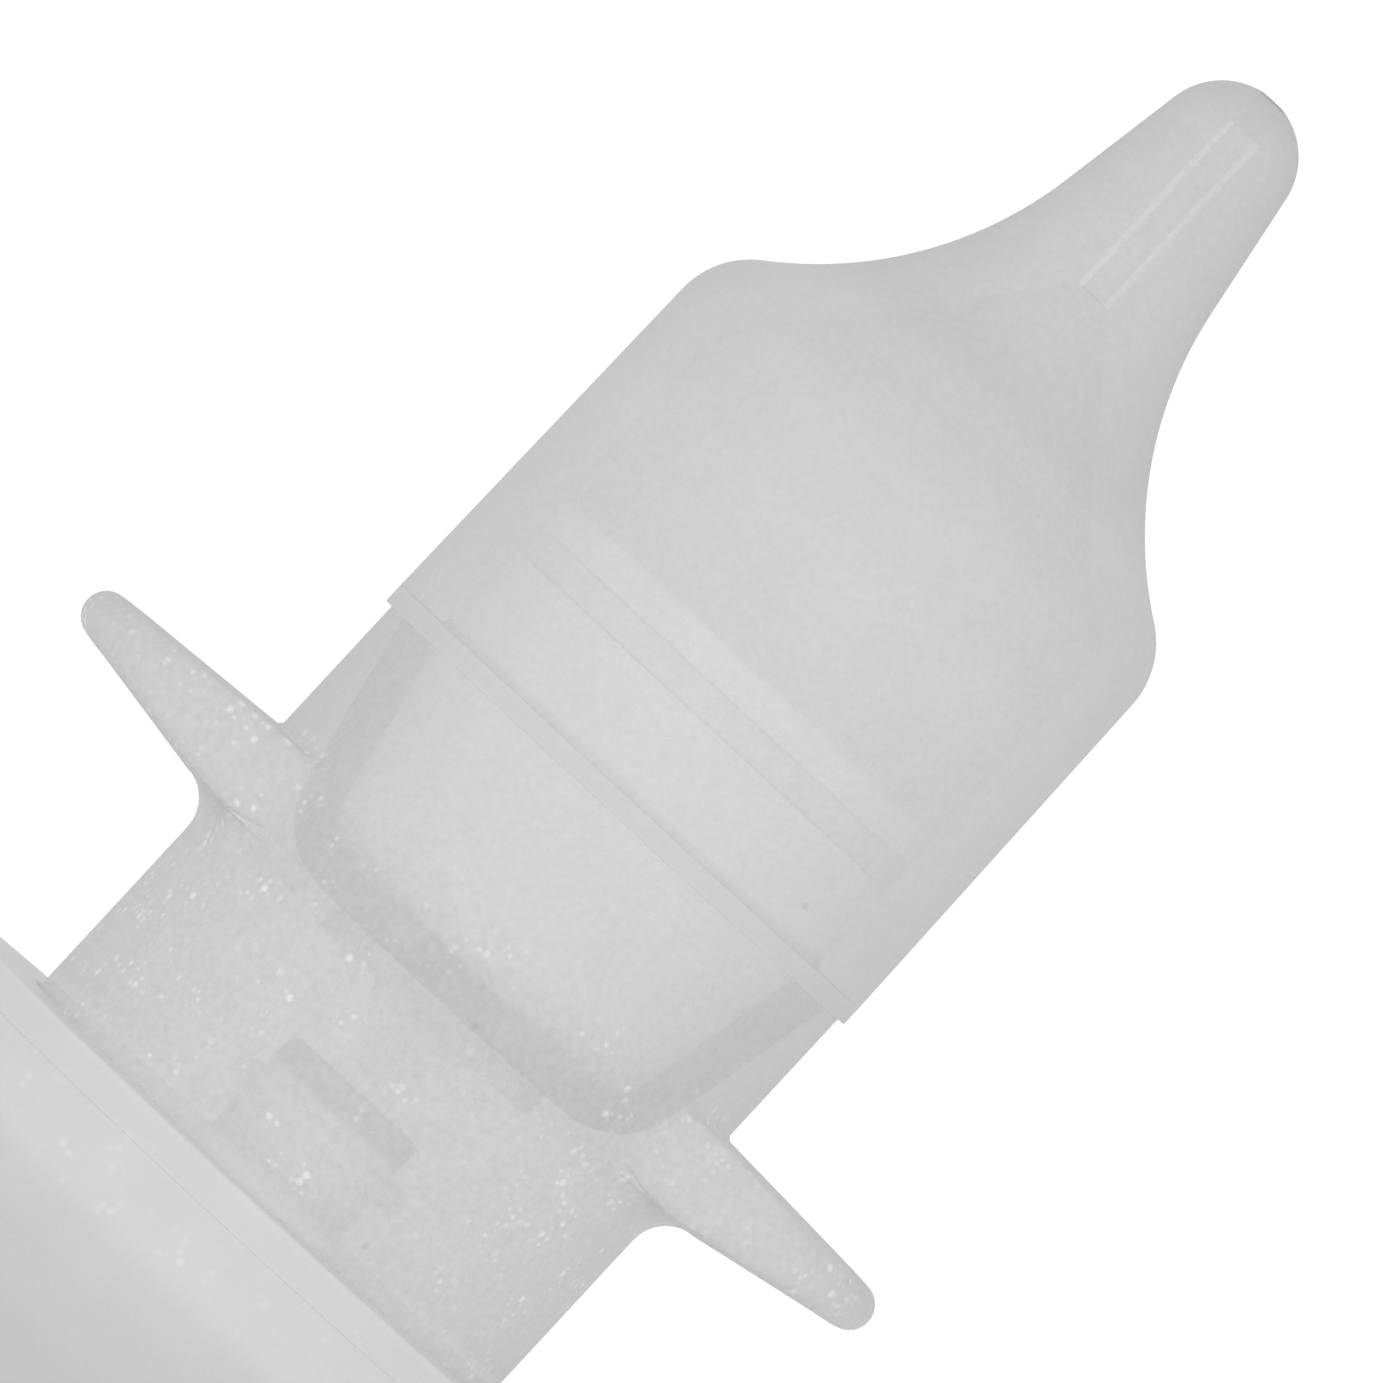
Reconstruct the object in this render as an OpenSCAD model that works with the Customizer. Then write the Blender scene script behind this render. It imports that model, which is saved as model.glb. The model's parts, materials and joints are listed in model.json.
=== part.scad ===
// Saliva ejector tip: a soft winged tip with a pull-off nose cap, on a swivelling hose hub.
// The origin is the centre of the hub's flat base, and +Z runs up the axis to the nose.
// The finger wings point along +X and -X.

/* [Tip body] */
// Outside diameter of the neck and of the lower barrel
barrel_d = 13; // [10.8:0.1:15.6]
// Length of the neck, from the hub's face to the wings
neck_h = 5.54; // [4.6:0.02:8]
// Length of the lower barrel, from the wings to the collar's flange
barrel_h = 3.5; // [2.9:0.1:6]
// Radial lip of the foot that the hub holds
foot_lip = 1; // [0.8:0.05:1.4]
// Thickness of the foot
foot_t = 1.9; // [1.5:0.05:2.6]

/* [Wings] */
// Span over both wings
wing_span = 22.75; // [18.9:0.05:27.3]
// Width of each wing, across the barrel
wing_w = 7.6; // [6.3:0.1:9.1]
// Thickness of a wing at its root
wing_root_t = 1.99; // [1.6:0.01:2.5]
// Thickness of a wing at its rounded rim
wing_tip_t = 1.1; // [0.9:0.05:1.4]
// How far a wing's nose side drops from root to rim
wing_drop = 0.26; // [0.1:0.02:0.4]
// Radius of the fillet between the neck and a wing's hub side
wing_fillet = 0.95; // [0.5:0.05:1.3]

/* [Nose cap] */
// How far the cap and the collar's flange stand out beyond the barrel
cap_proud = 0.17; // [0.05:0.01:0.4]
// Wall of the cap's skirt at its open end
cap_wall = 1.27; // [1:0.01:1.6]
// Length of the cap's straight skirt
skirt_h = 8.7; // [7.2:0.1:12]
// Draft of the skirt, as the radius lost over its length
skirt_draft = 0.115; // [0:0.005:0.2]
// Radius of the cap's rounded shoulder
shoulder_r = 2; // [1.7:0.1:2.6]
// Angle that the shoulder turns through
shoulder_turn = 55; // [48:1:62]
// Diameter where the hollow waist ends and the nose cone starts
nose_base_d = 4.226; // [3.6:0.002:5]
// Half angle of the nose cone
nose_half_angle = 9.65; // [7:0.05:12]
// Length of the nose, from the waist to its rounded end
nose_h = 4.26; // [3.6:0.02:5]
// Half angle of the funnel that leads to the lumen
funnel_angle = 38; // [32:1:45]
// Diameter of the lumen's mouth
lumen_d = 0.54; // [0.4:0.02:0.7]
// Outside diameter of the lumen's liner
liner_d = 0.9; // [0.75:0.05:1.1]
// Bore of the lumen's liner
liner_bore_d = 0.6; // [0.5:0.05:0.7]
// Soft length that covers the liner's far end
liner_cover = 0.9; // [0.6:0.05:1.5]

/* [Collar and cap seal] */
// Thickness of the collar's flange
flange_t = 0.47; // [0.35:0.01:0.8]
// Height of the spigot above the flange
spigot_h = 3.8; // [3.4:0.1:5]
// Wall of the spigot
spigot_wall = 1.1; // [0.95:0.05:1.4]
// Radial gap between the spigot and the cap
cap_gap = 0.05; // [0.02:0.01:0.1]
// Section diameter of the cap's seal
seal_d = 0.7; // [0.5:0.05:0.75]
// Height of the land above the seal's groove
top_land = 0.8; // [0.5:0.05:1.2]
// Depth of the skirt that centres the collar in the cup
register_h = 0.8; // [0.5:0.05:1.2]

/* [Cup and strainer] */
// Height of the cup
cup_h = 5.43; // [4.5:0.01:6]
// Wall and floor of the cup
cup_wall = 0.9; // [0.7:0.05:1.2]
// Taper of the cup's side, each way
cup_taper = 12; // [8:1:15]
// Outside radius of the cup's lower corner
cup_corner = 1.8; // [1.4:0.1:2.2]
// Soft wall left around the cup's rim
lip_wall = 0.35; // [0.25:0.01:0.6]
// Diameter of the drain hole in the cup's floor
drain_d = 2.4; // [2:0.1:2.8]
// Height of the strainer's rim
strainer_h = 2.2; // [1.6:0.1:3]
// Thickness of the strainer's floor
strainer_t = 0.6; // [0.4:0.05:0.9]
// Wall of the strainer's rim
strainer_wall = 0.5; // [0.4:0.05:0.8]
// Diameter of each hole in the strainer
strainer_hole_d = 0.8; // [0.5:0.05:1]
// Width of the ledge that holds the strainer
ledge_w = 0.4; // [0.3:0.05:0.6]

/* [Backflow valve] */
// Diameter of the valve's flange
valve_flange_d = 6; // [5.2:0.1:6.6]
// Thickness of the valve's flange
valve_flange_t = 0.6; // [0.4:0.05:0.9]
// Outside diameter of the valve's bill at its root
bill_d = 3.6; // [3.2:0.1:4]
// Length of the bill
bill_h = 1.7; // [1.4:0.1:2.4]
// Thickness of the closed lips, both together
lips_t = 0.56; // [0.4:0.02:0.8]
// Wall of the bill
bill_wall = 0.35; // [0.25:0.05:0.5]

/* [Outlet tube] */
// Outside diameter of the outlet tube
tube_d = 3.6; // [3:0.1:4]
// Bore of the outlet tube
tube_bore_d = 2.4; // [1.8:0.1:2.6]
// Radial running gap between the tube and the neck
tube_gap = 0.06; // [0.03:0.01:0.1]
// Diameter of the tube's foot flange
tube_foot_d = 6.2; // [5.4:0.1:6.6]
// Thickness of the tube's foot flange
tube_foot_t = 0.55; // [0.4:0.05:0.6]
// Section diameter of the tube's seal
tube_seal_d = 0.56; // [0.5:0.02:0.7]

/* [Hub] */
// Wall of the hub around the swivel's chamber
hub_wall = 1.45; // [1.2:0.05:2]
// Bore of the socket that takes the suction tube
socket_d = 6.5; // [5.4:0.1:7.8]
// Depth of the socket
socket_h = 8; // [6.7:0.1:12]
// Thickness of the web between the socket and the swivel's chamber
web_t = 1.6; // [1.2:0.1:2.4]
// Thickness of the washer that the foot turns on
washer_t = 0.65; // [0.6:0.05:1]
// Thickness of the front ring, and depth of its skirt
ring_t = 0.8; // [0.6:0.05:1.2]
// Radial running gap between the front ring and the neck
ring_gap = 0.1; // [0.05:0.01:0.2]
// Section diameter of each seal in the socket
socket_seal_d = 0.84; // [0.7:0.02:1]
// Radius of the hub's outer edge at its base
hub_edge = 0.6; // [0.3:0.1:0.9]
// Radius of the front ring's outer edge
face_edge = 0.2; // [0.1:0.05:0.6]
// Depth of each grip groove around the hub
grip_depth = 0.35; // [0.2:0.05:0.5]

/* [Hidden] */

$fn = 96;
arc_steps = 16;
over = 0.5; // how far a cutting tool runs past the face that it opens
edge_cut = 0.3; // small lead-in at an opening

// Swivel, from the socket's floor up to the hub's face
axial_play = 0.05;
foot_play = 0.2;
foot_gap = 0.3;
chamber_z = socket_h + web_t;
foot_z = chamber_z + washer_t + axial_play;
ring_skirt_z = foot_z + foot_t + foot_play;
ring_z = ring_skirt_z + ring_t;
hub_face_z = ring_z + ring_t;

// Radii of the swivel
barrel_r = barrel_d / 2;
foot_r = barrel_r + foot_lip;
chamber_r = foot_r + foot_gap;
hub_r = chamber_r + hub_wall;
washer_gap = 0.15; // around the washer's rim
washer_foot_gap = 0.4; // between the washer and the tube's foot

// Wings
wing_z = hub_face_z + neck_h;
wing_top_z = wing_z + wing_root_t;
wing_rim_r = wing_tip_t / 2;

// Collar
rim_z = wing_top_z + barrel_h;
cap_z = rim_z + flange_t;
spigot_z = cap_z + spigot_h;
flange_r = barrel_r + cap_proud;
cap_in_r = flange_r - cap_wall;
spigot_r = cap_in_r - cap_gap;
spigot_in_r = spigot_r - spigot_wall;
ledge_r = spigot_in_r - ledge_w;
seal_gap = 0.03; // left between a seal and the wall that it runs on
cap_seal_out_r = cap_in_r - seal_gap;
cap_seal_in_r = cap_seal_out_r - seal_d;
cap_groove_w = seal_d + 0.1;
cap_groove_z = spigot_z - top_land - cap_groove_w;

// Cup
cup_z = rim_z - cup_h;
cup_rim_r = barrel_r - lip_wall;
cup_in_rim_r = cup_rim_r - cup_wall / cos(cup_taper);
cup_corner_c = [
    cup_rim_r - (cup_h - cup_corner * (1 - sin(cup_taper))) * tan(cup_taper) - cup_corner * cos(cup_taper),
    cup_z + cup_corner
];

// Strainer
strainer_gap = 0.07;
strainer_r = spigot_in_r - strainer_gap;
strainer_rings = [[6, 0.36], [12, 0.72]]; // holes in a ring, and its radius as a share of the floor's

// Valve and outlet tube
valve_z = cup_z - valve_flange_t;
bill_z = valve_z - bill_h;
pocket_z = bill_z - 0.3;
pocket_r = bill_d / 2 + 0.45;
slit_w = 0.06;
valve_seat_gap = 0.05;
tube_r = tube_d / 2;
tube_top_z = pocket_z - 0.1;
neck_bore_r = tube_r + tube_gap;
tube_seal_c = tube_r + seal_gap + tube_seal_d / 2;
tube_groove_w = tube_seal_d + 0.1;
tube_groove_z = tube_top_z - 1.2;

// Socket
socket_r = socket_d / 2;
socket_seal_c = socket_r + seal_gap + socket_seal_d / 2;
socket_groove_r = socket_seal_c + socket_seal_d / 2;
socket_groove_w = socket_seal_d + 0.16;
socket_seal_shares = [0.31, 0.72]; // heights of the two seals as shares of the socket's depth
socket_lead = 0.5;
grip_count = 3;
grip_w = 0.8;
grip_pitch = 1.5;
grip_z = 1.6;

// Outline of the cap: shoulder arc, hollow waist arc, cone and round end
shoulder_z = cap_z + skirt_h;
cap_top_r = flange_r - skirt_draft;
shoulder_c = [cap_top_r - shoulder_r, shoulder_z];
shoulder_end = shoulder_c + shoulder_r * [cos(shoulder_turn), sin(shoulder_turn)];
waist_r = (shoulder_end.x - nose_base_d / 2) / (cos(nose_half_angle) - cos(shoulder_turn));
waist_c = shoulder_end + waist_r * [cos(shoulder_turn), sin(shoulder_turn)];
nose_base_z = waist_c.y - waist_r * sin(nose_half_angle);
nose_end_z = nose_base_z + nose_h;
ball_r = (nose_base_d / 2 - nose_h * tan(nose_half_angle))
    / (cos(nose_half_angle) - (1 - sin(nose_half_angle)) * tan(nose_half_angle));
ball_c = [0, nose_end_z - ball_r];
lumen_r = lumen_d / 2;
liner_r = liner_d / 2;

// Hollow of the cap: it shares the outer arcs' centres, so the wall stays even down to the funnel
hollow_shoulder_r = cap_in_r - shoulder_c.x;
hollow_waist_r = waist_r + shoulder_r - hollow_shoulder_r;
funnel_top = waist_c - hollow_waist_r * [cos(funnel_angle), sin(funnel_angle)];
throat_z = funnel_top.y + (funnel_top.x - liner_r) / tan(funnel_angle);
liner_end_z = nose_end_z - liner_cover;

// Points of an arc about c, from angle a0 to angle a1
function arc(c, r, a0, a1) =
    [for (i = [0:arc_steps]) let (a = a0 + (a1 - a0) * i / arc_steps) c + r * [cos(a), sin(a)]];

// Half outline of the cup's outside, grown outwards by g and closed along the axis at the height top_z
function cup_outline(g, top_z) = let (
    rise = top_z - rim_z,
    rim_out = cup_rim_r + g / cos(cup_taper) + rise * tan(cup_taper)
) concat(
    [[0, cup_z - g]],
    arc(cup_corner_c, cup_corner + g, -90, -cup_taper),
    [[rim_out, top_z], [0, top_z]]
);

// A ring of round section about the Z axis
module o_ring(centre_r, section_d, z) {
    translate([0, 0, z]) rotate_extrude() translate([centre_r, 0]) circle(d = section_d, $fn = 32);
}

// A plain ring from radius r0 to r1, between heights z0 and z1
module ring(r0, r1, z0, z1) {
    rotate_extrude() translate([r0, z0]) square([r1 - r0, z1 - z0]);
}

module cap_outline() {
    polygon(concat(
        [[0, cap_z], [flange_r, cap_z]],
        arc(shoulder_c, shoulder_r, 0, shoulder_turn),
        arc(waist_c, waist_r, 180 + shoulder_turn, 180 + nose_half_angle),
        arc(ball_c, ball_r, nose_half_angle, 90)
    ));
}

module cap_hollow() {
    polygon(concat(
        [[0, cap_z - over], [cap_in_r, cap_z - over]],
        arc(shoulder_c, hollow_shoulder_r, 0, shoulder_turn),
        arc(waist_c, hollow_waist_r, 180 + shoulder_turn, 180 + funnel_angle),
        [[liner_r, throat_z], [0, throat_z]]
    ));
}

module nose_cap() {
    color([0.82, 0.82, 0.82]) difference() {
        rotate_extrude() cap_outline();
        rotate_extrude() cap_hollow();
        translate([0, 0, throat_z - edge_cut]) cylinder(r = liner_r, h = liner_end_z - throat_z + edge_cut);
        translate([0, 0, throat_z]) cylinder(r = lumen_r, h = nose_end_z - throat_z + over);
    }
}

module lumen_liner() {
    color([0.9, 0.9, 0.9]) ring(liner_bore_d / 2, liner_r, throat_z, liner_end_z);
}

module spigot_collar() {
    register_r = cup_in_rim_r - register_h * tan(cup_taper) - strainer_gap;
    color([0.88, 0.88, 0.87]) difference() {
        union() {
            ring(ledge_r, register_r, rim_z - register_h, rim_z);
            ring(ledge_r, flange_r, rim_z, cap_z);
            ring(spigot_in_r, spigot_r, cap_z, spigot_z);
        }
        ring(cap_seal_in_r, spigot_r + over, cap_groove_z, cap_groove_z + cap_groove_w);
    }
}

module cap_seal() {
    color([0.7, 0.7, 0.7]) o_ring(cap_seal_out_r - seal_d / 2, seal_d, cap_groove_z + cap_groove_w / 2);
}

module strainer_basket() {
    floor_r = strainer_r - strainer_wall;
    color([0.86, 0.86, 0.85]) difference() {
        union() {
            translate([0, 0, cap_z]) cylinder(r = strainer_r, h = strainer_t);
            ring(floor_r, strainer_r, cap_z, cap_z + strainer_h);
        }
        translate([0, 0, cap_z - over]) {
            cylinder(d = strainer_hole_d, h = strainer_t + 2 * over, $fn = 24);
            for (holes = strainer_rings, i = [0:holes[0] - 1])
                rotate(360 * i / holes[0]) translate([floor_r * holes[1], 0, 0])
                    cylinder(d = strainer_hole_d, h = strainer_t + 2 * over, $fn = 24);
        }
    }
}

module strainer_cup() {
    color([0.78, 0.78, 0.78]) difference() {
        rotate_extrude() polygon(cup_outline(0, rim_z));
        rotate_extrude() polygon(cup_outline(-cup_wall, rim_z + over));
        translate([0, 0, cup_z - over]) cylinder(d = drain_d, h = cup_wall + 2 * over);
    }
}

// Wedge of the bill: w wide at its root and tip_w wide at its lips, seen along Y
module bill_wedge(w, tip_w, z0, z1) {
    rotate([90, 0, 0]) linear_extrude(height = 2 * bill_d, center = true)
        polygon([[-tip_w / 2, z0], [tip_w / 2, z0], [w / 2, z1], [-w / 2, z1]]);
}

module duckbill_valve() {
    bore_r = bill_d / 2 - bill_wall;
    color([0.75, 0.75, 0.76]) difference() {
        union() {
            translate([0, 0, valve_z]) cylinder(d = valve_flange_d, h = valve_flange_t);
            intersection() {
                translate([0, 0, bill_z]) cylinder(d = bill_d, h = bill_h + valve_flange_t);
                bill_wedge(bill_d, lips_t, bill_z, valve_z + valve_flange_t);
            }
        }
        intersection() {
            translate([0, 0, bill_z - over]) cylinder(r = bore_r, h = bill_h + valve_flange_t + 2 * over);
            union() {
                bill_wedge(2 * bore_r, slit_w, bill_z + bill_wall, cup_z + over);
                bill_wedge(slit_w, slit_w, bill_z - over, bill_z + 2 * bill_wall);
            }
        }
    }
}

// Section of a wing, from inside the barrel out to its full round rim
module wing_section() {
    tip_c = [wing_span / 2 - wing_rim_r, wing_top_z - wing_drop - wing_rim_r];
    inner_r = barrel_r - over;
    polygon(concat(
        [[inner_r, wing_z - wing_fillet]],
        [[barrel_r, wing_z - wing_fillet]],
        arc([barrel_r + wing_fillet, wing_z - wing_fillet], wing_fillet, 180, 90),
        arc(tip_c, wing_rim_r, -90, 90),
        [[inner_r, wing_top_z]]
    ));
}

module wings() {
    lobe_x = wing_span / 2 - wing_w / 2;
    low_z = wing_z - wing_fillet - over;
    wing_h = wing_root_t + wing_fillet + 2 * over;
    intersection() {
        rotate_extrude() wing_section();
        union() {
            translate([-lobe_x, -wing_w / 2, low_z]) cube([2 * lobe_x, wing_w, wing_h]);
            for (side = [-1, 1]) translate([side * lobe_x, 0, low_z]) cylinder(d = wing_w, h = wing_h);
        }
    }
}

module tip_body() {
    color([0.8, 0.8, 0.8]) difference() {
        union() {
            translate([0, 0, foot_z]) cylinder(r = barrel_r, h = rim_z - foot_z);
            translate([0, 0, foot_z]) cylinder(r = foot_r, h = foot_t);
            wings();
        }
        rotate_extrude() polygon(cup_outline(0, rim_z));
        translate([0, 0, valve_z])
            cylinder(d = valve_flange_d + 2 * valve_seat_gap, h = valve_flange_t + edge_cut);
        translate([0, 0, pocket_z]) cylinder(r = pocket_r, h = valve_z - pocket_z + edge_cut);
        translate([0, 0, foot_z - over]) cylinder(r = neck_bore_r, h = pocket_z - foot_z + 2 * over);
        ring(neck_bore_r - edge_cut, tube_seal_c + tube_seal_d / 2,
             tube_groove_z - tube_groove_w / 2, tube_groove_z + tube_groove_w / 2);
    }
}

module tube_seal() {
    color([0.7, 0.7, 0.7]) o_ring(tube_seal_c, tube_seal_d, tube_groove_z);
}

module outlet_tube() {
    color([0.86, 0.86, 0.86]) difference() {
        union() {
            translate([0, 0, socket_h]) cylinder(r = tube_r, h = tube_top_z - socket_h);
            translate([0, 0, chamber_z]) cylinder(d = tube_foot_d, h = tube_foot_t);
        }
        translate([0, 0, socket_h - over]) cylinder(d = tube_bore_d, h = tube_top_z - socket_h + 2 * over);
    }
}

module front_ring() {
    color([0.84, 0.84, 0.83]) difference() {
        union() {
            translate([0, 0, ring_skirt_z]) cylinder(r = chamber_r, h = ring_t + edge_cut);
            rotate_extrude() polygon(concat(
                [[0, ring_z], [hub_r, ring_z]],
                arc([hub_r - face_edge, hub_face_z - face_edge], face_edge, 0, 90),
                [[0, hub_face_z]]
            ));
        }
        translate([0, 0, ring_skirt_z - over])
            cylinder(r = barrel_r + ring_gap, h = hub_face_z - ring_skirt_z + 2 * over);
    }
}

module thrust_washer() {
    color([0.92, 0.92, 0.9])
        ring(tube_foot_d / 2 + washer_foot_gap, chamber_r - washer_gap, chamber_z, chamber_z + washer_t);
}

module hub() {
    color([0.82, 0.82, 0.81]) difference() {
        rotate_extrude() polygon(concat(
            [[0, 0]],
            arc([hub_r - hub_edge, hub_edge], hub_edge, -90, 0),
            [[hub_r, ring_z], [0, ring_z]]
        ));
        translate([0, 0, chamber_z]) cylinder(r = chamber_r, h = ring_z - chamber_z + over);
        translate([0, 0, socket_h - over]) cylinder(r = tube_r, h = web_t + 2 * over);
        translate([0, 0, -over]) cylinder(r = socket_r, h = socket_h + over);
        translate([0, 0, -over])
            cylinder(r1 = socket_r + socket_lead + over, r2 = socket_r, h = socket_lead + over);
        for (share = socket_seal_shares)
            ring(socket_r - edge_cut, socket_groove_r,
                 socket_h * share - socket_groove_w / 2, socket_h * share + socket_groove_w / 2);
        for (i = [0:grip_count - 1])
            ring(hub_r - grip_depth, hub_r + over,
                 grip_z + i * grip_pitch, grip_z + i * grip_pitch + grip_w);
    }
}

module socket_seal_upper() {
    color([0.35, 0.36, 0.38]) o_ring(socket_seal_c, socket_seal_d, socket_h * socket_seal_shares[1]);
}

module socket_seal_lower() {
    color([0.35, 0.36, 0.38]) o_ring(socket_seal_c, socket_seal_d, socket_h * socket_seal_shares[0]);
}

nose_cap();
lumen_liner();
spigot_collar();
cap_seal();
strainer_basket();
strainer_cup();
duckbill_valve();
tip_body();
tube_seal();
outlet_tube();
front_ring();
thrust_washer();
hub();
socket_seal_upper();
socket_seal_lower();
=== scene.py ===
import json
import math

import bmesh
import bpy
import numpy as np
from mathutils import Matrix, Vector

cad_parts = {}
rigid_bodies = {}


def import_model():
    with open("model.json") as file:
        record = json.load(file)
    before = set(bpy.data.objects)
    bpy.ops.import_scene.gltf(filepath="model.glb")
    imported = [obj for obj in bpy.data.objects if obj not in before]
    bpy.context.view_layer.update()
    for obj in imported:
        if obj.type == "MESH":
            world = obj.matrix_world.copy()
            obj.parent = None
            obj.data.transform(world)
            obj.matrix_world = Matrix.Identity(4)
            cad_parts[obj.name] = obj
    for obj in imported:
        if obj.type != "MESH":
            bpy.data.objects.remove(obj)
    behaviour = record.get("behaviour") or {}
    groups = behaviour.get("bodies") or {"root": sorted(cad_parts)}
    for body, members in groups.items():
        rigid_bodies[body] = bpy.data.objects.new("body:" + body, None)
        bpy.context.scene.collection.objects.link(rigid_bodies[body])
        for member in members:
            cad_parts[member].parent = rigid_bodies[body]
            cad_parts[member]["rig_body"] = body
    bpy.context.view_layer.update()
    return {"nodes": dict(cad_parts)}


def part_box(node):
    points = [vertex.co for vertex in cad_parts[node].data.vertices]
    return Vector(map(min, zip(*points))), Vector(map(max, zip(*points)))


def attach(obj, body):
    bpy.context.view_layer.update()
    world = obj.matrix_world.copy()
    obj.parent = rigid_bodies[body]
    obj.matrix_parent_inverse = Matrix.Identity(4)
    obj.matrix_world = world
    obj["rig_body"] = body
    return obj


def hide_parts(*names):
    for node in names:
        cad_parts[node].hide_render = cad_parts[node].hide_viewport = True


# Looks of the saliva ejector tip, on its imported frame. Sizes are in millimetres and degrees, and
# become metres where a mesh, a light or the camera is made. r is the distance from the tip's axis
# and z the height on it.

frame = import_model()

MM = 0.001
WHITE = (1, 1, 1, 1)


# ---------- sizes read off the frame ----------

SAME_LEVEL = 0.005


def low(node):
    """Height of a CAD node's lowest point."""
    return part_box(node)[0].z / MM


def high(node):
    """Height of a CAD node's highest point."""
    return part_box(node)[1].z / MM


def reach(node):
    """Half the width of a CAD node along X."""
    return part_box(node)[1].x / MM


def radii(node, z):
    """Distances from the axis, smallest first, of a CAD node's vertices at height z."""
    points = np.array([v.co for v in frame["nodes"][node].data.vertices]) / MM
    level = points[np.abs(points[:, 2] - z) < SAME_LEVEL]
    return sorted(set(np.round(np.hypot(level[:, 0], level[:, 1]), 2)))


HUB_R = reach("hub")
HUB_FACE = high("front_ring")
SEAM = high("hub")
CHAMBER_FLOOR = low("thrust_washer")
CHAMBER_R = radii("hub", SEAM)[0]
SOCKET_FLOOR = low("outlet_tube")
SOCKET_R = radii("hub", SOCKET_FLOOR)[-1]
RING_HOLE_R, RING_SKIRT_R = radii("front_ring", low("front_ring"))
TUBE_BORE_R, TUBE_R = radii("outlet_tube", high("outlet_tube"))
BODY_FOOT = low("tip_body")
NECK_BORE_R, BODY_FOOT_R = radii("tip_body", BODY_FOOT)
RIM = high("tip_body")
CUP_RIM_R, BARREL_R = radii("tip_body", RIM)
CUP_FLOOR = low("strainer_cup")
DRAIN_R = radii("strainer_cup", CUP_FLOOR)[0]
CAP_FOOT = low("nose_cap")
SPIGOT_SOCKET_R, SKIRT_R = radii("nose_cap", CAP_FOOT)
SPIGOT_TOP = high("spigot_collar")
SPIGOT_BORE_R, SPIGOT_R = radii("spigot_collar", SPIGOT_TOP)
WING_REACH = reach("tip_body")

# Sizes of the design that a box can't give
SEAL_PLAY = 0.05
SEAL_GROOVE_R = radii("spigot_collar", low("cap_seal") - SEAL_PLAY)[0]
HUB_EDGE = 0.6
FACE_EDGE = 0.2
GRIP_Z = 1.6
GRIP_PITCH = 1.5
GRIP_W = 0.8
GRIP_DEPTH = 0.35
GRIP_COUNT = 3
SOCKET_LEAD = 0.5
GROOVE_PLAY = 0.08
TUBE_FOOT_T = 0.55
FOOT_T = 1.9
SEAT_T = 0.6
SEAT_PLAY = 0.05
POCKET_PLAY = 0.3
POCKET_R = 2.25
NECK_H = 5.54
WING_W = 7.6
WING_ROOT_T = 1.99
WING_TIP_T = 1.1
WING_DROP = 0.26
WING_FILLET = 0.95
CUP_WALL = 0.9
CUP_TAPER = 12
CUP_CORNER = 1.8
SKIRT_H = 8.7
SKIRT_DRAFT = 0.115
SHOULDER_R = 2.0
SHOULDER_TURN = 55
NOSE_BASE_R = 2.113
NOSE_HALF_ANGLE = 9.65
NOSE_H = 4.26
FUNNEL_ANGLE = 38
LUMEN_R = 0.27

# Small rounded edges that a moulding has
SOFT_EDGE = 0.12
HARD_EDGE = 0.07
SEAM_EDGE = 0.012
MOUTH_EDGE = 0.03
CORNER_EDGE = 0.1
CAP_MOUTH_EDGE = 0.2
SPIGOT_EDGE = 0.25
LIP_EDGE = 0.15

# Slits that keep neighbouring surfaces apart
GROOVE_SLIT = 0.01
LINER_SLIT = 0.005
LINER_SHORT = 0.02

# The finger wings: heights of their root, their tip, and how the root melts into the barrel
WING_UNDER = HUB_FACE + NECK_H
WING_OVER = WING_UNDER + WING_ROOT_T
WING_TIP_R = WING_REACH - WING_TIP_T / 2
WING_BLEND = 1.2
WING_THINNING = 0.3
WING_THINNING_DEPTH = 1.2

# Steps round a piece, and edges that are sharper than this stay crisp
BODY_TURNS = 288
LARGE_TURNS = 256
MEDIUM_TURNS = 192
TUBE_TURNS = 96
LINER_TURNS = 64
CRISP_ANGLE = 38

# A rounded corner's points, and the share of its shorter side that it may take
CORNER_STEPS = 5
CORNER_ROOM = 0.48


# ---------- outlines in the (r, z) plane ----------

def turned(angle):
    """Unit vector at an angle in degrees."""
    return np.array([math.cos(math.radians(angle)), math.sin(math.radians(angle))])


def arc(centre, radius, start, end, steps=14):
    """Points of an arc from one angle to another."""
    return [tuple(np.array(centre) + radius * turned(a)) for a in np.linspace(start, end, steps + 1)]


def expanded(corners):
    """How many points these corners become once rounded."""
    return sum(CORNER_STEPS + 1 if len(corner) == 3 else 1 for corner in corners)


def rounded(corners):
    """A closed outline. A corner given as (r, z, radius) is rounded, and one given as (r, z) stays."""
    outline = []
    for i, corner in enumerate(corners):
        here = np.array(corner[:2])
        if len(corner) == 2:
            outline.append(tuple(here))
            continue
        back = np.array(corners[i - 1][:2]) - here
        ahead = np.array(corners[(i + 1) % len(corners)][:2]) - here
        room = CORNER_ROOM * min(np.linalg.norm(back), np.linalg.norm(ahead))
        back = back / np.linalg.norm(back)
        ahead = ahead / np.linalg.norm(ahead)
        half = 0.5 * math.acos(np.clip(back @ ahead, -1, 1))
        cut = min(corner[2] / math.tan(half), room)
        for t in np.linspace(0, 1, CORNER_STEPS + 1):
            weights = ((1 - t) ** 2, 2 * t * (1 - t), t ** 2)
            point = (weights[0] * (here + back * cut) + weights[1] * here
                     + weights[2] * (here + ahead * cut))
            outline.append(tuple(point))
    return outline


def ring_section(r0, r1, z0, z1, edge):
    """A rectangle with rounded corners."""
    return rounded([(r0, z0, edge), (r1, z0, edge), (r1, z1, edge), (r0, z1, edge)])


# ---------- meshes ----------

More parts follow.
